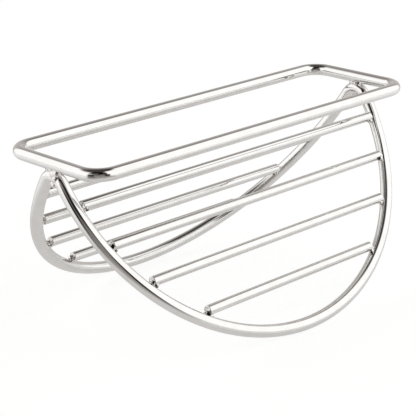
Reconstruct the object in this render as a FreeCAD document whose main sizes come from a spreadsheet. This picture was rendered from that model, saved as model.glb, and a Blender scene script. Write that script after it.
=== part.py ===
import FreeCAD, Part
import math
import os
import Sketcher

# Taco holder of round stainless steel wire, in millimetres.
# A circle of wire is folded across its middle into two half circles that lean
# apart like a tent. A rounded rectangle of the same wire is welded across the
# two folds. Four thinner rods bridge each half circle from side to side, each
# with a weld bead at both ends.
# +X runs along the folds, +Y points to the rear, +Z is up. The origin lies on
# the surface that the holder stands on, below its middle.

SIZES = [
    ("hoop_radius", 75.0, "half circle, to the middle of the wire"),
    ("hoop_wire", 4.5, "diameter of the hoop's wire"),
    ("lean_angle", 34.6, "each half circle leans this many degrees from upright"),
    ("bend_radius", 5.1, "fold, to the middle of the wire"),
    ("bend_start", 2.5, "where the fold starts, down the lean from the half circle's centre"),
    ("ring_width", 50.0, "ring over the wire, front to rear"),
    ("ring_corner", 10.0, "outer corner radius of the ring"),
    ("ring_wire", 4.5, "diameter of the ring's wire"),
    ("ring_overhang", 0.5, "ring's short side outside the plane of the fold"),
    ("weld_press", 0.1, "depth that the weld pressed the fold into the ring"),
    ("rod_wire", 3.6, "diameter of a rod"),
    ("first_rod", 11.1, "first rod, down the lean from the half circle's centre"),
    ("last_rod", 17.0, "last rod, up the lean from the lowest middle line"),
    ("rod_bead", 2.4, "radius of the weld bead at a rod's end"),
    ("fold_bead_reach", 2.6, "weld bead between ring and fold, past the pressed seat"),
    ("fold_bead_swell", 0.35, "the same bead, past each side of the hoop's wire"),
    ("fold_bead_height", 4.4, "the same bead, along Z"),
]
SIDES = {"front": -1, "rear": 1}
ENDS = {"left": -1, "right": 1}
RODS_PER_SIDE = 4

# Worked out in the sheet. The wire of a half circle already slants in a little where
# the fold starts, so each fold leans outwards by its tilt and stays tangent to both.
DERIVED = [
    ("slant", "asin(bend_start / hoop_radius)", "slant of the wire where the fold starts"),
    ("half_bend", "acos(cos(slant) * sin(lean_angle))", "angle of half a fold"),
    ("tilt", "atan(tan(slant) / cos(lean_angle))", "each fold leans outwards by this"),
    ("bend_drop", "bend_radius * cos(half_bend)", "fold's centre, below its ends"),
    ("half_y", "bend_radius * sin(half_bend) - bend_start * sin(lean_angle)",
     "half circle's centre, from the middle"),
    ("half_z", "hoop_radius * cos(lean_angle) + hoop_wire / 2", "the same, up"),
    ("bend_x", "hoop_radius * cos(slant) - bend_drop * sin(tilt)", "fold's centre"),
    ("bend_z", "half_z - bend_start * cos(lean_angle) - bend_drop * cos(tilt)", "the same, up"),
    ("fold_x", "bend_x + bend_radius * sin(tilt)", "top of the fold, middle of its wire"),
    ("fold_z", "bend_z + bend_radius * cos(tilt)", "the same, up"),
    ("ring_z", "fold_z + hoop_wire / 2 + ring_wire / 2 - weld_press", "middle of the ring's wire"),
    ("crown", "bend_radius + hoop_wire / 2", "outer radius of the fold"),
    ("seat", "sqrt(crown ^ 2 - (crown - weld_press) ^ 2)", "half the length of the pressed seat"),
]

# Formulas over the sheet, used by more than one piece.
LEAN_SIN = "sin(Sizes.lean_angle)"
LEAN_COS = "cos(Sizes.lean_angle)"
HOOP_INNER = "(Sizes.hoop_radius - Sizes.hoop_wire / 2)"
ROD_RISE = "((Sizes.hoop_wire - Sizes.rod_wire) / 2)"
RING_HALF_LENGTH = "(Sizes.hoop_radius + Sizes.ring_overhang)"
RING_HALF_WIDTH = "((Sizes.ring_width - Sizes.ring_wire) / 2)"
RING_CORNER = "(Sizes.ring_corner - Sizes.ring_wire / 2)"


def rod_depth(number):
    """Distance of a rod down the lean, from the centre of the half circle.

    The rods are evenly spaced between the first and the last one.
    """
    span = "(Sizes.hoop_radius - Sizes.last_rod - Sizes.first_rod)"
    return f"(Sizes.first_rod + {number - 1} / {RODS_PER_SIDE - 1} * {span})"


def rod_end_x(number):
    """Where the lower edge of the square-cut end reaches the inside of the hoop."""
    edge = f"({rod_depth(number)} + Sizes.rod_wire / 2)"
    return f"sqrt({HOOP_INNER} ^ 2 - {edge} ^ 2)"


def rod_point(side, depth):
    """Y and Z of a point in the layer of the rods, at a depth down the lean.

    The rods lie flush with the outer side of the hoop, as they were welded to it
    flat on a table, so their middle is a little outside the middle of its wire.
    """
    y = f"{SIDES[side]} * (Sizes.half_y + {depth} * {LEAN_SIN} + {ROD_RISE} * {LEAN_COS})"
    z = f"Sizes.half_z - {depth} * {LEAN_COS} + {ROD_RISE} * {LEAN_SIN}"
    return y, z


def add_sheet(doc):
    """The sizes, and below them the values that follow from them."""
    sheet = doc.addObject("Spreadsheet::Sheet", "Sizes")
    rows = [(alias, str(value), note) for alias, value, note in SIZES]
    rows += [(alias, f"={formula}", note) for alias, formula, note in DERIVED]
    for row, (alias, content, note) in enumerate(rows, start=1):
        sheet.set(f"A{row}", alias)
        sheet.set(f"B{row}", content)
        sheet.set(f"C{row}", note)
        sheet.setAlias(f"B{row}", alias)
    doc.recompute()
    return sheet


def place(item, x, y, z):
    """Tie the position of an object to formulas over the sheet."""
    for axis, formula in (("x", x), ("y", y), ("z", z)):
        item.setExpression(f"Placement.Base.{axis}", formula)


def origin_plane(body, role):
    return next(item for item in body.Origin.OriginFeatures if item.Role == role)


def add_sketch(body, name, role):
    sketch = body.newObject("Sketcher::SketchObject", name)
    sketch.AttachmentSupport = [(origin_plane(body, role), "")]
    sketch.MapMode = "FlatFace"
    return sketch


def bind(sketch, constraint, name, formula):
    """Add a constraint whose value follows a formula over the sheet."""
    index = sketch.addConstraint(constraint)
    sketch.renameConstraint(index, name)
    sketch.setExpression(f"Constraints.{name}", formula)


def ring_path(body, sheet):
    """Rounded rectangle that starts in the middle of the rear long side."""
    sketch = add_sketch(body, "RingPath", "XY_Plane")
    radius = sheet.ring_corner - sheet.ring_wire / 2
    half_length = sheet.hoop_radius + sheet.ring_overhang
    half_width = (sheet.ring_width - sheet.ring_wire) / 2
    across, along = half_length - radius, half_width - radius
    point = FreeCAD.Vector

    def line(start, end):
        return sketch.addGeometry(Part.LineSegment(point(*start, 0), point(*end, 0)), False)

    def corner(x, y, first_degree):
        circle = Part.Circle(point(x, y, 0), point(0, 0, 1), radius)
        first = math.radians(first_degree)
        return sketch.addGeometry(Part.ArcOfCircle(circle, first, first + math.pi / 2), False)

    rear_left = line((0, half_width), (-across, half_width))
    corner_a = corner(-across, along, 90)
    left = line((-half_length, along), (-half_length, -along))
    corner_b = corner(-across, -along, 180)
    front = line((-across, -half_width), (across, -half_width))
    corner_c = corner(across, -along, 270)
    right = line((half_length, -along), (half_length, along))
    corner_d = corner(across, along, 0)
    rear_right = line((across, half_width), (0, half_width))

    chain = [rear_left, corner_a, left, corner_b, front, corner_c, right, corner_d, rear_right]
    for before, after in zip(chain, chain[1:]):
        sketch.addConstraint(Sketcher.Constraint("Tangent", before, 2, after, 1))
    sketch.addConstraint(Sketcher.Constraint("Coincident", rear_right, 2, rear_left, 1))
    for item in (rear_left, rear_right):
        sketch.addConstraint(Sketcher.Constraint("Horizontal", item))
    for item in (left, right):
        sketch.addConstraint(Sketcher.Constraint("Vertical", item))
    for item in (corner_b, corner_c, corner_d):
        sketch.addConstraint(Sketcher.Constraint("Equal", corner_a, item))
    sketch.addConstraint(Sketcher.Constraint("PointOnObject", rear_left, 1, -2))
    sketch.addConstraint(Sketcher.Constraint("Symmetric", front, 1, front, 2, -2))
    bind(sketch, Sketcher.Constraint("Radius", corner_a, radius), "corner", RING_CORNER)
    bind(sketch, Sketcher.Constraint("DistanceX", -1, 1, right, 1, half_length),
         "half_length", RING_HALF_LENGTH)
    bind(sketch, Sketcher.Constraint("DistanceY", -1, 1, rear_left, 1, half_width),
         "rear_side", RING_HALF_WIDTH)
    bind(sketch, Sketcher.Constraint("DistanceY", front, 1, -1, 1, half_width),
         "front_side", RING_HALF_WIDTH)
    return sketch


def add_top_ring(doc, sheet):
    """Closed rounded rectangle of round wire, swept along its middle line."""
    body = doc.addObject("PartDesign::Body", "top_ring")
    path = ring_path(body, sheet)
    section = add_sketch(body, "RingSection", "YZ_Plane")
    centre = FreeCAD.Vector((sheet.ring_width - sheet.ring_wire) / 2, 0, 0)
    circle = Part.Circle(centre, FreeCAD.Vector(0, 0, 1), sheet.ring_wire / 2)
    section.addGeometry(circle, False)
    section.addConstraint(Sketcher.Constraint("PointOnObject", 0, 3, -1))
    bind(section, Sketcher.Constraint("Diameter", 0, sheet.ring_wire), "wire", "Sizes.ring_wire")
    bind(section, Sketcher.Constraint("DistanceX", -1, 1, 0, 3, centre.x),
         "out", RING_HALF_WIDTH)
    doc.recompute()
    sweep = body.newObject("PartDesign::AdditivePipe", "RingWire")
    sweep.Profile = section
    sweep.Spine = (path, [])
    place(body, "0", "0", "Sizes.ring_z")
    return body


def turn(x, y, z, angle):
    """Formula of a turn about an axis."""
    return f"create(<<rotation>>; create(<<vector>>; {x}; {y}; {z}); {angle})"


def set_placement(item, x, y, z, *turns):
    """Tie position and turns to formulas, the last turn being made first."""
    item.setExpression("Placement", (
        f"create(<<placement>>; create(<<vector>>; {x}; {y}; {z}); " + " * ".join(turns) + ")"))


def add_half_circle(doc, side):
    """One half circle of the hoop, hung from the fold and leaning outwards."""
    half = doc.addObject("Part::Torus", f"{side}_half")
    half.setExpression("Radius1", "Sizes.hoop_radius")
    half.setExpression("Radius2", "Sizes.hoop_wire / 2")
    half.setExpression("Angle3", "180 deg - 2 * Sizes.slant")
    set_placement(half, "0", f"{SIDES[side]} * Sizes.half_y", "Sizes.half_z",
                  turn(-1, 0, 0, f"90 - {SIDES[side]} * Sizes.lean_angle"),
                  turn(0, 0, 1, "Sizes.slant"))
    return half


def add_bend(doc, end):
    """One fold of the hoop: a tight arc that joins the half circles."""
    bend = doc.addObject("Part::Torus", f"{end}_bend")
    bend.setExpression("Radius1", "Sizes.bend_radius")
    bend.setExpression("Radius2", "Sizes.hoop_wire / 2")
    bend.setExpression("Angle3", "2 * Sizes.half_bend")
    set_placement(bend, f"{ENDS[end]} * Sizes.bend_x", "0", "Sizes.bend_z",
                  turn(0, 1, 0, f"{ENDS[end]} * Sizes.tilt"),
                  turn(1, 0, 0, "90 deg - Sizes.half_bend"),
                  turn(1, 1, 1, 120))
    return bend


def add_cradle_hoop(doc, ring):
    """The folded hoop as one wire, with the seats that the ring presses in it."""
    arcs = [add_half_circle(doc, side) for side in SIDES]
    arcs += [add_bend(doc, end) for end in ENDS]
    wire = doc.addObject("Part::MultiFuse", "hoop_wire_form")
    wire.Shapes = arcs
    hoop = doc.addObject("Part::Cut", "cradle_hoop")
    hoop.Base = wire
    hoop.Tool = ring
    return hoop


def add_rod(doc, side, number):
    """Straight rod with square-cut ends that butt against the hoop's inside."""
    rod = doc.addObject("Part::Cylinder", f"{side}_rod_{number}")
    rod.setExpression("Radius", "Sizes.rod_wire / 2")
    rod.setExpression("Height", f"2 * {rod_end_x(number)}")
    rod.Placement.Rotation = FreeCAD.Rotation(FreeCAD.Vector(0, 1, 0), 90)
    y, z = rod_point(side, rod_depth(number))
    place(rod, f"-{rod_end_x(number)}", y, z)
    return rod


def add_rod_welds(doc, side, number, rod, hoop):
    """The beads at both ends of one rod, on the edge that meets the hoop.

    The more a rod's end slants to the wire, the further its bead sits towards
    the lower edge, where the two meet.
    """
    depth = rod_depth(number)
    slant = f"({depth} + Sizes.rod_wire / 2) / {HOOP_INNER}"
    y, z = rod_point(side, f"({depth} + Sizes.rod_wire / 2 * {slant})")
    beads = []
    for end, sign in ENDS.items():
        bead = doc.addObject("Part::Sphere", f"{side}_bead_{number}_{end}")
        bead.setExpression("Radius", "Sizes.rod_bead")
        bead.Placement.Rotation = FreeCAD.Rotation(FreeCAD.Vector(0, 1, 0), 90)
        place(bead, f"{sign} * {rod_end_x(number)}", y, z)
        beads.append(bead)
    pair = doc.addObject("Part::Compound", f"{side}_beads_{number}")
    pair.Links = beads
    outside_hoop = doc.addObject("Part::Cut", f"{side}_beads_{number}_off_hoop")
    outside_hoop.Base = pair
    outside_hoop.Tool = hoop
    welds = doc.addObject("Part::Cut", f"{side}_rod_{number}_welds")
    welds.Base = outside_hoop
    welds.Tool = rod
    return welds


def add_ring_weld(doc, end, ring, hoop):
    """The bead that fills the crease between the ring and one fold.

    It lies level with the ring's lower side and reaches past both ends of the seat
    that the weld pressed, so that the metal on both sides of the wires is joined.
    """
    bead = doc.addObject("Part::Ellipsoid", f"{end}_fold_bead")
    bead.setExpression("Radius1", "Sizes.fold_bead_height / 2")
    bead.setExpression("Radius2", "Sizes.hoop_wire / 2 + Sizes.fold_bead_swell")
    bead.setExpression("Radius3", "Sizes.seat + Sizes.fold_bead_reach")
    place(bead, f"{ENDS[end]} * Sizes.fold_x", "0", "Sizes.ring_z - Sizes.ring_wire / 2")
    outside_hoop = doc.addObject("Part::Cut", f"{end}_fold_bead_off_hoop")
    outside_hoop.Base = bead
    outside_hoop.Tool = hoop
    weld = doc.addObject("Part::Cut", f"{end}_ring_weld")
    weld.Base = outside_hoop
    weld.Tool = ring
    return weld


def build_holder(doc):
    """All pieces of the holder, in the order in which they are put together."""
    sheet = add_sheet(doc)
    ring = add_top_ring(doc, sheet)
    hoop = add_cradle_hoop(doc, ring)
    pieces = [ring, hoop]
    pieces += [add_ring_weld(doc, end, ring, hoop) for end in ENDS]
    for side in SIDES:
        for number in range(1, RODS_PER_SIDE + 1):
            rod = add_rod(doc, side, number)
            pieces += [rod, add_rod_welds(doc, side, number, rod, hoop)]
    return pieces


def check_built(doc, pieces):
    """Stop before anything is written if an object failed or a shape is bad."""
    for item in doc.Objects:
        if "Invalid" in item.State or "Error" in item.State:
            raise RuntimeError(f"{item.Label} failed: {item.State}")
    for piece in pieces:
        if piece.Shape.isNull() or not piece.Shape.isValid() or not piece.Shape.Solids:
            raise RuntimeError(f"{piece.Label} has no valid solid")


def write_steps(pieces):
    os.makedirs("parts", exist_ok=True)
    for piece in pieces:
        piece.Shape.exportStep(f"parts/{piece.Label}.step")
        print(piece.Label, len(piece.Shape.Solids), round(piece.Shape.Volume, 2), "mm3")


document = FreeCAD.newDocument("TacoHolder")
holder = build_holder(document)
document.recompute()
check_built(document, holder)
write_steps(holder)
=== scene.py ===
from math import acos, asin, atan, cos, pi, radians, sin, sqrt, tan

import bpy
from mathutils import Matrix, Vector


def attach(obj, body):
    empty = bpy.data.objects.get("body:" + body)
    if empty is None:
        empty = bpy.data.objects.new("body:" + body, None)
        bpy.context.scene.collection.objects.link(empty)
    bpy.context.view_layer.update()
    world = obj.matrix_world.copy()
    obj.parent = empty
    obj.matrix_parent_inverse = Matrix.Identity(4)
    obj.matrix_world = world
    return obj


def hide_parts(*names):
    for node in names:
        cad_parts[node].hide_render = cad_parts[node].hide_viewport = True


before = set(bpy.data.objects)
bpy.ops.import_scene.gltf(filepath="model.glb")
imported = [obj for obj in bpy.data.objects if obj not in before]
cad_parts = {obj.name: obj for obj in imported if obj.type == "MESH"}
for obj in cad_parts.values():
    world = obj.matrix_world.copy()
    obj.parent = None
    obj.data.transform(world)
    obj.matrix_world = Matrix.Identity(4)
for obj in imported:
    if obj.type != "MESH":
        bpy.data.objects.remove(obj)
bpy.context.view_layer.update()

print("frame loaded:", len(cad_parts), "pieces in their places")


# the holder's own sizes, in metres, the same as in its solids
holder = {
    "hoopRadius": 0.0750,        # half circle, to the middle of the wire
    "lean": radians(34.6),       # each half circle leans away from upright
    "bendRadius": 0.0051,        # fold at each end of the hoop
    "bendStart": 0.0025,         # where the bend starts, down the lean from the half circle's centre
    "wire": 0.0045,              # hoop and ring are the same gauge
    "weldPress": 0.0001,         # how far the ring sank into the folds
    "ringHalfLength": 0.0755,
    "ringHalfWidth": 0.02275,
    "ringCorner": 0.00775,
    "rodWire": 0.0036,
    "rodsPerSide": 4,
    "firstRod": 0.0111,          # down the lean from the half circle's centre
    "lastRod": 0.0170,           # up the lean from the lowest middle line
}
wireRadius = holder["wire"] / 2
rodRadius = holder["rodWire"] / 2
leanSin, leanCos = sin(holder["lean"]), cos(holder["lean"])
slant = asin(holder["bendStart"] / holder["hoopRadius"])  # of the wire, where the bend starts
halfBend = acos(cos(slant) * leanSin)
bendTilt = atan(tan(slant) / leanCos)
halfY = holder["bendRadius"] * sin(halfBend) - holder["bendStart"] * leanSin
halfZ = holder["hoopRadius"] * leanCos + wireRadius
bendDrop = holder["bendRadius"] * cos(halfBend)
bendCentreX = holder["hoopRadius"] * cos(slant) - bendDrop * sin(bendTilt)
bendCentreZ = halfZ - holder["bendStart"] * leanCos - bendDrop * cos(bendTilt)
foldX = bendCentreX + holder["bendRadius"] * sin(bendTilt)
foldTopZ = bendCentreZ + holder["bendRadius"] * cos(bendTilt)
ringZ = foldTopZ + holder["wire"] - holder["weldPress"]
sides = {"front": -1, "rear": 1}
ends = {"left": -1, "right": 1}


def linear(hexColour):  # sRGB hex to linear colour
    values = [int(hexColour[i:i + 2], 16) / 255 for i in (0, 2, 4)]
    return tuple(v / 12.92 if v < 0.04045 else ((v + 0.055) / 1.055) ** 2.4 for v in values) + (1.0,)


def addNode(tree, kind, inputs=None, **settings):
    # an input is a value, or the node or output that it is linked to
    node = tree.nodes.new(kind)
    for name, value in settings.items():
        setattr(node, name, value)
    for socket, value in (inputs or {}).items():
        if isinstance(value, bpy.types.Node):
            value = next(output for output in value.outputs if output.enabled)
        if isinstance(value, bpy.types.NodeSocket):
            tree.links.new(value, node.inputs[socket])
        else:
            node.inputs[socket].default_value = value
    return node


def newMaterial(name):
    material = bpy.data.materials.new(name)
    material.use_nodes = True
    material.node_tree.nodes.clear()
    return material, material.node_tree


# polished stainless steel wire
# cold drawn and electropolished, so it mirrors its surroundings like chrome; a thin
# haze left by the bath and a wire that is never quite even soften the mirror in places
steelLook = {
    "colour": "eeedec",
    "haze": "e9e8e4",
    "hazeEdge": (0.35, 0.7),     # the texture's value where haze begins, and where it covers
    "roughness": (0.02, 0.06),   # bright, and hazy
    "unevenness": 0.004,         # size of the shiny and duller patches, in metres
    "patchGrain": {"Detail": 3.0, "Roughness": 0.55},
    "waviness": 0.006,           # from one slight dent or swell of the wire to the next
    "waveGrain": {"Detail": 2.0, "Roughness": 0.5},
    "fullWave": 0.0002,          # height in metres
    "waveDepth": 0.02,           # share of that height
}


def makePolishedSteel():
    material, tree = newMaterial("electropolishedStainless")
    place = addNode(tree, "ShaderNodeTexCoord").outputs["Object"]
    patches = addNode(tree, "ShaderNodeTexNoise", {"Vector": place, "Scale": 1 / steelLook["unevenness"],
                                                   **steelLook["patchGrain"]})
    start, end = steelLook["hazeEdge"]
    haze = addNode(tree, "ShaderNodeMapRange", {"Value": patches, "From Min": start, "From Max": end})
    colour = addNode(tree, "ShaderNodeMix", {0: haze, 6: linear(steelLook["colour"]),
                                             7: linear(steelLook["haze"])}, data_type="RGBA")
    low, high = steelLook["roughness"]
    shine = addNode(tree, "ShaderNodeMapRange", {"Value": haze, "To Min": low, "To Max": high})
    waves = addNode(tree, "ShaderNodeTexNoise", {"Vector": place, "Scale": 1 / steelLook["waviness"],
                                                 **steelLook["waveGrain"]})
    relief = addNode(tree, "ShaderNodeBump", {"Height": waves, "Distance": steelLook["fullWave"],
                                              "Strength": steelLook["waveDepth"]})
    steel = addNode(tree, "ShaderNodeBsdfPrincipled", {"Base Color": colour, "Metallic": 1.0,
                                                       "Roughness": shine, "Normal": relief})
    addNode(tree, "ShaderNodeOutputMaterial", {"Surface": steel})
    return material


# weld metal
# melted and frozen without filler, then only rinsed: bright where it flowed, with
# dark scale left in the pits, which gives the joints their speckled look
weldLook = {
    "bright": "efece8",
    "scale": "2b2622",
    "pit": 0.0014,               # width of a pit, in metres
    "pitGrain": {"Detail": 4.0, "Roughness": 0.6, "Distortion": 0.6},
    "pitEdge": (0.53, 0.58),     # the texture's value where scale begins, and where it covers
    "roughness": (0.11, 0.5),    # bright metal, and scale
    "fullPit": 0.0004,           # depth in metres
    "depth": 0.45,               # share of that depth
}


def makeWeldMetal(name, look):
    material, tree = newMaterial(name)
    place = addNode(tree, "ShaderNodeTexCoord").outputs["Object"]
    pits = addNode(tree, "ShaderNodeTexNoise", {"Vector": place, "Scale": 1 / look["pit"],
                                                **look["pitGrain"]})
    start, end = look["pitEdge"]
    dark = addNode(tree, "ShaderNodeMapRange", {"Value": pits, "From Min": start, "From Max": end},
                   interpolation_type="SMOOTHSTEP")
    colour = addNode(tree, "ShaderNodeMix", {0: dark, 6: linear(look["bright"]), 7: linear(look["scale"])},
                     data_type="RGBA")
    low, high = look["roughness"]
    shine = addNode(tree, "ShaderNodeMapRange", {"Value": dark, "To Min": low, "To Max": high})
    relief = addNode(tree, "ShaderNodeBump", {"Height": pits, "Distance": look["fullPit"],
                                              "Strength": look["depth"]}, invert=True)
    metal = addNode(tree, "ShaderNodeBsdfPrincipled", {"Base Color": colour, "Metallic": 1.0,
                                                       "Roughness": shine, "Normal": relief})
    addNode(tree, "ShaderNodeOutputMaterial", {"Surface": metal})
    return material


# the larger welds on the folds cooled slowly: smoother, satin and nearly free of scale
foldWeldLook = {
    **weldLook,
    "bright": "e9e4e1",
    "pit": 0.0015,
    "pitEdge": (0.60, 0.66),
    "roughness": (0.20, 0.5),
    "depth": 0.25,
}


# sheared rod ends
# cropped square with a blade and then caught by the weld's heat: a pale satin face
# with specks of scale
cutLook = {
    **weldLook,
    "bright": "f4f2ef",
    "scale": "3a342f",
    "pit": 0.0008,
    "pitEdge": (0.57, 0.64),
    "roughness": (0.16, 0.5),
    "depth": 0.3,
}

polishedSteel = makePolishedSteel()
weldMetal = makeWeldMetal("fusionWeldedStainless", weldLook)
foldWeldMetal = makeWeldMetal("slowCooledWeldStainless", foldWeldLook)
shearedSteel = makeWeldMetal("shearedStainless", cutLook)
print("metals mixed")


def selectOnly(piece):
    bpy.ops.object.select_all(action="DESELECT")
    piece.select_set(True)
    bpy.context.view_layer.objects.active = piece


def settle(piece, smooth=True):  # puts the place, turn and size of a finished piece in its mesh
    selectOnly(piece)
    bpy.ops.object.transform_apply(location=True, rotation=True, scale=True)
    if smooth:
        bpy.ops.object.shade_smooth()


def fixModifiers(piece):
    selectOnly(piece)
    for modifier in list(piece.modifiers):
        bpy.ops.object.modifier_apply(modifier=modifier.name)


def turnOutwards(piece):
    selectOnly(piece)
    bpy.ops.object.mode_set(mode="EDIT")
    bpy.ops.mesh.select_all(action="SELECT")
    bpy.ops.mesh.normals_make_consistent(inside=False)
    bpy.ops.object.mode_set(mode="OBJECT")


def joinPieces(pieces, name):
    bpy.ops.object.select_all(action="DESELECT")
    for piece in pieces:
        piece.select_set(True)
    bpy.context.view_layer.objects.active = pieces[0]
    bpy.ops.object.join()
    pieces[0].name = name
    pieces[0].data.name = name
    return pieces[0]


def copyPiece(piece, name):
    twin = piece.copy()
    twin.data = piece.data.copy()
    twin.name = name
    twin.data.name = name
    bpy.context.scene.collection.objects.link(twin)
    return twin


def fit(piece, slotName, *nodes):  # the piece stands for these solids and moves with the holder
    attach(piece, "root")
    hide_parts(*nodes)


# drawing a wire: an open round section is drawn along runs and arcs
seamGap = 0.00002                # in metres; the last section lies this close to the first, or closer


def startWire(name, place, turn, roundness):
    bpy.ops.object.select_all(action="DESELECT")
    bpy.ops.mesh.primitive_circle_add(vertices=roundness, radius=wireRadius, fill_type="NOTHING",
                                      location=place, rotation=turn)
    piece = bpy.context.active_object
    piece.name = name
    piece.data.name = name
    settle(piece, smooth=False)
    bpy.ops.object.mode_set(mode="EDIT")
    bpy.ops.mesh.select_all(action="SELECT")
    return piece


def drawRun(x, y):
    bpy.ops.mesh.extrude_region_move(TRANSFORM_OT_translate={"value": (x, y, 0)})


def drawArc(angle, centre, axis, steps):
    bpy.ops.mesh.spin(steps=steps, angle=-angle, center=centre, axis=axis)  # spin turns clockwise


def closeWire(piece):  # joins the last section to the first and turns the skin outwards
    bpy.ops.mesh.select_all(action="SELECT")
    bpy.ops.mesh.remove_doubles(threshold=seamGap)
    bpy.ops.object.mode_set(mode="OBJECT")
    turnOutwards(piece)
    settle(piece)
    piece.data.materials.append(polishedSteel)


# top ring
ringLook = {"roundness": 48, "cornerSteps": 24}


def makeTopRing():
    across = holder["ringHalfLength"] - holder["ringCorner"]
    along = holder["ringHalfWidth"] - holder["ringCorner"]
    ring = startWire("topRing", (0, holder["ringHalfWidth"], ringZ), (0, pi / 2, 0), ringLook["roundness"])
    runs = [(-across, 0), (0, -2 * along), (2 * across, 0), (0, 2 * along)]
    corners = [(-across, along), (-across, -along), (across, -along), (across, along)]
    for (runX, runY), (cornerX, cornerY) in zip(runs, corners):
        drawRun(runX, runY)
        drawArc(pi / 2, (cornerX, cornerY, ringZ), (0, 0, 1), ringLook["cornerSteps"])
    drawRun(-across, 0)
    closeWire(ring)
    return ring


# folded hoop
hoopLook = {"roundness": 48, "halfSteps": 120, "bendSteps": 20}


def makeCradleHoop():
    shortBend = hoopLook["bendSteps"] // 2
    across = {"left": (-bendCentreX, 0, bendCentreZ), "right": (bendCentreX, 0, bendCentreZ)}
    hoop = startWire("cradleHoop", (-foldX, 0, foldTopZ), (pi / 2, 0, 0), hoopLook["roundness"])
    drawArc(halfBend, across["left"], (cos(bendTilt), 0, sin(bendTilt)), shortBend)
    drawArc(pi - 2 * slant, (0, -halfY, halfZ), (0, -leanCos, leanSin), hoopLook["halfSteps"])
    drawArc(2 * halfBend, across["right"], (-cos(bendTilt), 0, sin(bendTilt)), hoopLook["bendSteps"])
    drawArc(pi - 2 * slant, (0, halfY, halfZ), (0, leanCos, leanSin), hoopLook["halfSteps"])
    drawArc(halfBend, across["left"], (cos(bendTilt), 0, sin(bendTilt)), shortBend)
    closeWire(hoop)
    return hoop


topRing = makeTopRing()
cradleHoop = makeCradleHoop()
fit(topRing, "polished_wire", "top_ring")
fit(cradleHoop, "polished_wire", "cradle_hoop")
print("ring and hoop drawn:", len(topRing.data.polygons) + len(cradleHoop.data.polygons), "faces")


# rods
rodLook = {
    "roundness": 40,
    "rim": 0.00014,              # rounding of the sheared edge
    "rimSteps": 3,
    "rimAngle": radians(60),     # sharper edges than this are rounded
    "smoothAngle": radians(40),  # and flatter ones than this are shaded smooth
    "faceSteps": (0.0007, 0.00056),  # rings on the cut face, from its edge inwards
    "endFacing": 0.9,            # the flat ends face outwards more squarely than this
    "cutFacing": 0.7,            # and so does all of their sheared metal, rim and all
}


def rodDepth(number):  # down the lean; the rods are evenly spaced from first to last
    span = holder["hoopRadius"] - holder["lastRod"] - holder["firstRod"]
    return holder["firstRod"] + (number - 1) / (holder["rodsPerSide"] - 1) * span


def rodEnd(number):
    edge = rodDepth(number) + rodRadius
    return sqrt((holder["hoopRadius"] - wireRadius) ** 2 - edge ** 2)


def leanPlace(side, x, depth):  # the rods lie flush with the outer side of the hoop
    rise = wireRadius - rodRadius
    return Vector((x, sides[side] * (halfY + depth * leanSin + rise * leanCos),
                   halfZ - depth * leanCos + rise * leanSin))


def makeRod(side, number):
    half = rodEnd(number)
    bpy.ops.object.select_all(action="DESELECT")
    bpy.ops.mesh.primitive_cylinder_add(vertices=rodLook["roundness"], radius=rodRadius, depth=2 * half,
                                        end_fill_type="NGON", rotation=(0, pi / 2, 0))
    rod = bpy.context.active_object
    rod.name = side + "Rod" + str(number)
    rod.data.name = rod.name
    settle(rod, smooth=False)
    bpy.ops.object.mode_set(mode="EDIT")
    bpy.ops.mesh.select_mode(type="FACE")
    bpy.ops.mesh.select_all(action="DESELECT")
    bpy.ops.object.mode_set(mode="OBJECT")
    for face in rod.data.polygons:
        face.select = abs(face.normal.x) > rodLook["endFacing"]
    bpy.ops.object.mode_set(mode="EDIT")
    for step in rodLook["faceSteps"]:
        bpy.ops.mesh.inset(thickness=step, use_individual=True)
    bpy.ops.object.mode_set(mode="OBJECT")
    rim = rod.modifiers.new("shearedRim", "BEVEL")
    rim.width = rodLook["rim"]
    rim.segments = rodLook["rimSteps"]
    rim.limit_method = "ANGLE"
    rim.angle_limit = rodLook["rimAngle"]
    fixModifiers(rod)
    bpy.ops.object.shade_smooth_by_angle(angle=rodLook["smoothAngle"])
    rod.data.materials.append(polishedSteel)
    rod.data.materials.append(shearedSteel)
    for face in rod.data.polygons:
        if abs(face.normal.x) > rodLook["cutFacing"]:
            face.material_index = 1
    rod.location = leanPlace(side, 0, rodDepth(number))
    settle(rod, smooth=False)
    return rod


def makeRods():
    for number in range(1, holder["rodsPerSide"] + 1):
        front = makeRod("front", number)
        rear = copyPiece(front, "rearRod" + str(number))
        rear.location.y = -2 * leanPlace("front", 0, rodDepth(number)).y
        settle(rear, smooth=False)
        fit(front, "polished_wire", "front_rod_" + str(number))
        fit(rear, "polished_wire", "rear_rod_" + str(number))


makeRods()
print("rods laid in")


# weld nuggets
# x points out of the rod's end, y out of the lean's plane, z up the lean
nuggetLook = {
    "lumps": [                   # place and radius of each frozen drop, in metres
        (0.0002, 0.0001, -0.0006, 0.00125),
        (-0.0008, 0.0002, -0.0017, 0.00105),
        (0.0001, 0.0009, -0.0004, 0.00075),
        (0.0003, -0.0008, -0.0002, 0.00080),
        (-0.0003, -0.0003, -0.0014, 0.00095),
    ],
    "voxel": 0.00014,
    "ripple": 0.0002,            # height of the frozen ripples
    "rippleSize": 0.0008,
    "cornerShift": 0.5,          # the more the hoop slants, the lower on the end it is welded
    "squareSlant": 0.3,          # and at this slant in its middle
    "size": 0.95,
    "sizes": 5,                  # so many sizes and rolls take turns, and no two beads are alike
    "sizeStep": 0.04,
    "rolls": 7,
    "rollStep": radians(10),
    "dropDetail": 3,
    "meltSteps": 4,              # rounds of smoothing once the drops have run together
    "rippleDetail": 2,
}
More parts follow.
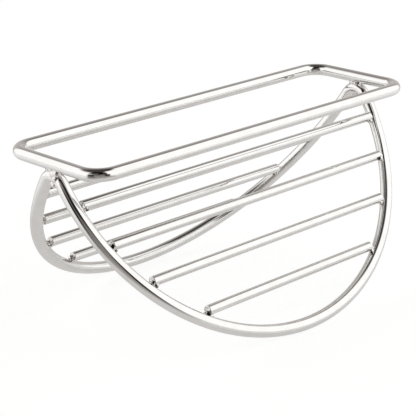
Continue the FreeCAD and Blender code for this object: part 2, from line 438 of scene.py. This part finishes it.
foldNuggetLook = {               # x points outwards, y along the fold, z up from its top
    "lumps": [
        (0.0008, 0.0007, 0.0029, 0.00165),
        (0.0009, 0.0016, 0.0013, 0.00170),
        (0.0008, 0.0028, 0.0016, 0.00145),
        (0.0009, 0.0026, -0.0003, 0.00165),
        (0.0008, 0.0014, -0.0022, 0.00155),
        (0.0001, -0.0024, 0.0021, 0.00125),
        (-0.0011, -0.0006, 0.0021, 0.00100),
        (-0.0010, 0.0009, 0.0022, 0.00100),
    ],
    "voxel": 0.00018,
    "ripple": 0.00015,
    "rippleSize": 0.0018,
    "dropDetail": 3,
    "meltSteps": 4,
    "rippleDetail": 2,
}


def makeNugget(name, look, metal):
    drops = []
    for x, y, z, radius in look["lumps"]:
        bpy.ops.object.select_all(action="DESELECT")
        bpy.ops.mesh.primitive_ico_sphere_add(subdivisions=look["dropDetail"], radius=radius,
                                              location=(x, y, z))
        drops.append(bpy.context.active_object)
    nugget = joinPieces(drops, name)
    settle(nugget, smooth=False)
    melt = nugget.modifiers.new("melt", "REMESH")  # the drops run together
    melt.mode = "VOXEL"
    melt.voxel_size = look["voxel"]
    soften = nugget.modifiers.new("soften", "SMOOTH")
    soften.iterations = look["meltSteps"]
    clouds = bpy.data.textures.new(name + "Ripple", "CLOUDS")
    clouds.noise_scale = look["rippleSize"]
    clouds.noise_depth = look["rippleDetail"]
    ripple = nugget.modifiers.new("ripple", "DISPLACE")
    ripple.texture = clouds
    ripple.strength = look["ripple"]
    fixModifiers(nugget)
    settle(nugget)
    nugget.data.materials.append(metal)
    return nugget


def shuffled(count, pace, span):  # takes the whole numbers round 0 in a fixed mixed order
    return count * pace % span - span // 2


def makeRodWelds():
    nugget = makeNugget("rodNugget", nuggetLook, weldMetal)
    sizes, rolls = nuggetLook["sizes"], nuggetLook["rolls"]
    beadCount = 0
    for side in sides:
        for number in range(1, holder["rodsPerSide"] + 1):
            pair = []
            depth = rodDepth(number)
            hoopSlant = (depth + rodRadius) / (holder["hoopRadius"] - wireRadius)
            shift = nuggetLook["cornerShift"] * rodRadius * (hoopSlant - nuggetLook["squareSlant"])
            for sign in ends.values():
                bead = copyPiece(nugget, "bead")
                beadCount += 1
                size = nuggetLook["size"] + nuggetLook["sizeStep"] * shuffled(beadCount, rolls, sizes)
                roll = nuggetLook["rollStep"] * shuffled(beadCount, sizes, rolls)
                place = leanPlace(side, sign * rodEnd(number), depth + shift)
                bead.matrix_world = (Matrix.Translation(place)
                                     @ Matrix.Rotation(sides[side] * holder["lean"], 4, "X")
                                     @ Matrix.Diagonal((sign, sides[side], 1, 1))
                                     @ Matrix.Rotation(roll, 4, "X") @ Matrix.Scale(size, 4))
                pair.append(bead)
            welds = joinPieces(pair, side + "Rod" + str(number) + "Welds")
            settle(welds)
            turnOutwards(welds)
            fit(welds, "weld_bead", side + "_rod_" + str(number) + "_welds")
    bpy.data.objects.remove(nugget)


def makeRingWelds():
    nugget = makeNugget("foldNugget", foldNuggetLook, foldWeldMetal)
    for end, sign in ends.items():
        weld = copyPiece(nugget, end + "RingWeld")
        weld.matrix_world = (Matrix.Translation((sign * foldX, 0, foldTopZ))
                             @ Matrix.Rotation(0 if sign > 0 else pi, 4, "Z"))
        settle(weld)
        fit(weld, "weld_bead", end + "_ring_weld")
    bpy.data.objects.remove(nugget)


makeRodWelds()
makeRingWelds()
print("welds set")


# photo tent: the steel mirrors it, so it is most of the look
# two soft boxes light it through the walls, the roof is dark, and the front left side is
# open to the room behind the camera, with dark flaps over the opening and at its two
# sides. Bearings are degrees clockwise from +Y as seen from above, heights degrees up.
tentLook = {
    "radius": 1.5,
    "roundness": (48, 24),       # segments round it, and rings
    "wall": [                    # height and strength
        (-90, 0.60), (10, 0.59), (24, 0.50), (38, 0.38), (50, 0.29), (59, 0.16), (67, 0.06), (90, 0.06),
    ],
    "boxes": [                   # bearing, half width, height, half height, strength
        (140, 54, 20, 46, 1.19),
        (-48, 46, 8, 42, 1.17),
    ],
    "openings": [                # bearing, half width, height, half height, how dark
        (-138, 29, 9, 31, 0.59),     # the room
        (-130, 9, 23, 6, 0.60),      # a darker place in it
        (-126, 27, 53, 14, 0.94),    # flaps over the opening
        (-149, 16, 36, 11, 0.94),
        (-166, 10, 7, 15, 0.95),     # flaps at its two sides
        (-107, 11, -2, 21, 0.96),
    ],
    "boxSoftness": 14,           # width of the soft edges, in degrees
    "openingSoftness": 8,
    "brightColour": "ffffff",
    "dimColour": "fff4ee",       # dim light is a little warmer
}


def addPatch(tree, bearing, height, patch, softness):  # 1 inside a patch of the tent, 0 outside
    centreBearing, halfWidth, centreHeight, halfHeight = patch
    turned = addNode(tree, "ShaderNodeMath", {0: bearing, 1: radians(centreBearing)}, operation="SUBTRACT")
    sideways = addNode(tree, "ShaderNodeMath", {0: turned, 1: -pi, 2: pi}, operation="WRAP")
    upwards = addNode(tree, "ShaderNodeMath", {0: height, 1: radians(centreHeight)}, operation="SUBTRACT")
    edges = []
    for away, half in ((sideways, halfWidth), (upwards, halfHeight)):
        distance = addNode(tree, "ShaderNodeMath", {0: away}, operation="ABSOLUTE")
        start, end = radians(half + softness / 2), radians(half - softness / 2)
        edge = {"Value": distance, "From Min": start, "From Max": end}
        edges.append(addNode(tree, "ShaderNodeMapRange", edge, interpolation_type="SMOOTHSTEP"))
    return addNode(tree, "ShaderNodeMath", {0: edges[0], 1: edges[1]}, operation="MULTIPLY")


def addBearing(tree, way):  # clockwise from +Y
    split = addNode(tree, "ShaderNodeSeparateXYZ", {"Vector": way}).outputs
    return addNode(tree, "ShaderNodeMath", {0: split["X"], 1: split["Y"]}, operation="ARCTAN2")


def addRays(tree):  # the first is 1 where the camera looks, the second where metal or glass does
    rays = addNode(tree, "ShaderNodeLightPath").outputs
    mirrored = addNode(tree, "ShaderNodeMath", {0: rays["Is Glossy Ray"], 1: rays["Is Transmission Ray"]},
                       operation="MAXIMUM")
    return rays["Is Camera Ray"], mirrored


def addTentLight(tree, bearing, height):  # how bright the tent is in one direction
    share = addNode(tree, "ShaderNodeMapRange", {"Value": height, "From Min": -pi / 2, "From Max": pi / 2})
    light = addNode(tree, "ShaderNodeValToRGB", {"Fac": share})
    steps = light.color_ramp.elements
    while len(steps) < len(tentLook["wall"]):
        steps.new(0.5)
    for step, (degreesUp, strength) in zip(steps, tentLook["wall"]):
        step.position = (degreesUp + 90) / 180
        step.color = (strength, strength, strength, 1)
    for *patch, strength in tentLook["boxes"]:
        mask = addPatch(tree, bearing, height, patch, tentLook["boxSoftness"])
        light = addNode(tree, "ShaderNodeMix", {0: mask, 2: light, 3: strength})
    for *patch, dark in tentLook["openings"]:
        mask = addPatch(tree, bearing, height, patch, tentLook["openingSoftness"])
        left = addNode(tree, "ShaderNodeMath", {0: mask, 1: -dark, 2: 1.0}, operation="MULTIPLY_ADD")
        light = addNode(tree, "ShaderNodeMath", {0: light, 1: left}, operation="MULTIPLY")
    return light


def addGlow(tree, light):  # the dimmer it is, the warmer
    dim, bright = linear(tentLook["dimColour"]), linear(tentLook["brightColour"])
    colour = addNode(tree, "ShaderNodeMix", {0: light, 6: dim, 7: bright}, data_type="RGBA")
    return addNode(tree, "ShaderNodeEmission", {"Color": colour, "Strength": light})


def makeTentFabric():
    material, tree = newMaterial("litTentFabric")
    place = addNode(tree, "ShaderNodeTexCoord").outputs["Object"]
    way = addNode(tree, "ShaderNodeVectorMath", {0: place}, operation="NORMALIZE")
    upwards = addNode(tree, "ShaderNodeSeparateXYZ", {"Vector": way}).outputs["Z"]
    height = addNode(tree, "ShaderNodeMath", {0: upwards}, operation="ARCSINE")
    glow = addGlow(tree, addTentLight(tree, addBearing(tree, way), height))
    addNode(tree, "ShaderNodeOutputMaterial", {"Surface": glow})
    return material


def makeTent():
    segments, rings = tentLook["roundness"]
    bpy.ops.object.select_all(action="DESELECT")
    bpy.ops.mesh.primitive_uv_sphere_add(segments=segments, ring_count=rings, radius=tentLook["radius"])
    tent = bpy.context.active_object
    tent.name = "photoTent"
    tent.data.materials.append(makeTentFabric())
    tent.visible_camera = False  # so it hides nothing from any side
    bpy.ops.object.shade_smooth()


# floor: a white vinyl sweep that the photo's exposure clips to white. The steel sees it partly
# lit for real and partly as painted light: a painted pale grey glow close by, a painted sheen of
# the tent's walls further out, and a dull mirror of them where it is seen at a slant
floorLook = {
    "size": 12.0,
    "colour": "eeedec",
    "seen": (0.65, 1.29),        # share that the camera sees as plain light, and its strength
    "mirrored": (0.65, 0.77),    # share of painted glow that the steel sees, and its strength close by
    "paintedSheen": (0.11, 0.22),       # the painted sheen of the tent's walls comes in between these distances
    "mirror": (0.42, 0.90),      # slant where it starts (1 is edge on), and its share edge on
    "mirrorColour": "ffffff",
    "roughness": 0.12,           # of that mirror
}


def makeVinyl():
    material, tree = newMaterial("whiteVinylSweep")
    cameraRay, mirroredRay = addRays(tree)
    place = addNode(tree, "ShaderNodeTexCoord").outputs["Object"]
    away = addNode(tree, "ShaderNodeVectorMath", {0: place}, operation="LENGTH").outputs["Value"]
    start, end = floorLook["paintedSheen"]
    reach = addNode(tree, "ShaderNodeMapRange", {"Value": away, "From Min": start, "From Max": end})
    # painted light that only the steel sees: a painted pale grey glow close by, fading into a painted sheen
    # of the tent's walls further out
    paintedGlowShare, paintedGrey = floorLook["mirrored"]
    paintedWallLight = addTentLight(tree, addBearing(tree, place), 0.0)
    paintedSheen = addNode(tree, "ShaderNodeMix", {0: reach, 2: paintedGrey, 3: paintedWallLight})
    slanted = addNode(tree, "ShaderNodeLayerWeight", {"Blend": 0.5}).outputs["Facing"]
    start, share = floorLook["mirror"]
    grazing = addNode(tree, "ShaderNodeMapRange", {"Value": slanted, "From Min": start, "To Max": share})
    mirror = addNode(tree, "ShaderNodeBsdfAnisotropic", {"Color": linear(floorLook["mirrorColour"]),
                                                         "Roughness": floorLook["roughness"]})
    # the painted glow and sheen, mixed with a real glossy mirror where the floor is seen at a slant
    paintedSheenAndGloss = addNode(tree, "ShaderNodeMixShader", {0: grazing, 1: addGlow(tree, paintedSheen), 2: mirror})
    # the rest of what the steel sees is the vinyl's real diffuse light, which keeps the object's shadow
    mirrored = addNode(tree, "ShaderNodeMath", {0: mirroredRay, 1: paintedGlowShare}, operation="MULTIPLY")
    vinyl = addNode(tree, "ShaderNodeBsdfDiffuse", {"Color": linear(floorLook["colour"])})
    mixed = addNode(tree, "ShaderNodeMixShader", {0: mirrored, 1: vinyl, 2: paintedSheenAndGloss})
    seenShare, strength = floorLook["seen"]
    seen = addNode(tree, "ShaderNodeMath", {0: cameraRay, 1: seenShare}, operation="MULTIPLY")
    white = addNode(tree, "ShaderNodeEmission", {"Strength": strength})
    mixed = addNode(tree, "ShaderNodeMixShader", {0: seen, 1: mixed, 2: white})
    addNode(tree, "ShaderNodeOutputMaterial", {"Surface": mixed})
    return material


def makeFloor():
    bpy.ops.object.select_all(action="DESELECT")
    bpy.ops.mesh.primitive_plane_add(size=floorLook["size"], location=(0, 0, 0))
    floor = bpy.context.active_object
    floor.name = "paleFloor"
    floor.data.materials.append(makeVinyl())


# the white room round the tent
worldLook = {
    "colour": "ffffff",
    "seen": 1.0,                 # strength where it is seen or mirrored
    "light": 0.6,                # strength with which it lights the floor beyond the tent
}


def makeWorld():
    world = bpy.data.worlds.new("whiteStudio")
    bpy.context.scene.world = world
    world.use_nodes = True
    tree = world.node_tree
    tree.nodes.clear()
    cameraRay, mirroredRay = addRays(tree)
    seen = addNode(tree, "ShaderNodeMath", {0: cameraRay, 1: mirroredRay}, operation="MAXIMUM")
    strength = addNode(tree, "ShaderNodeMapRange", {"Value": seen, "To Min": worldLook["light"],
                                                    "To Max": worldLook["seen"]})
    sky = addNode(tree, "ShaderNodeBackground", {"Color": linear(worldLook["colour"]), "Strength": strength})
    addNode(tree, "ShaderNodeOutputWorld", {"Surface": sky})


# camera: where the photo was taken from, fitted to the outlines of the wires
cameraLook = {
    "place": (-0.35428, -0.37108, 0.21407),
    "target": (-0.00632, 0.0, 0.03527),
    "roll": radians(-1.354),
    "lens": 128.47,              # in millimetres
    "sensor": 36,
}


def makeCamera():
    data = bpy.data.cameras.new("photoCamera")
    data.lens = cameraLook["lens"]
    data.sensor_width = cameraLook["sensor"]
    camera = bpy.data.objects.new("photoCamera", data)
    bpy.context.scene.collection.objects.link(camera)
    place = Vector(cameraLook["place"])
    sight = Vector(cameraLook["target"]) - place
    turn = sight.to_track_quat("-Z", "Y").to_matrix() @ Matrix.Rotation(cameraLook["roll"], 3, "Z")
    camera.matrix_world = Matrix.Translation(place) @ turn.to_4x4()
    bpy.context.scene.camera = camera


makeTent()
makeFloor()
makeWorld()
makeCamera()
bpy.context.scene.view_settings.view_transform = "Standard"
print("studio set up")
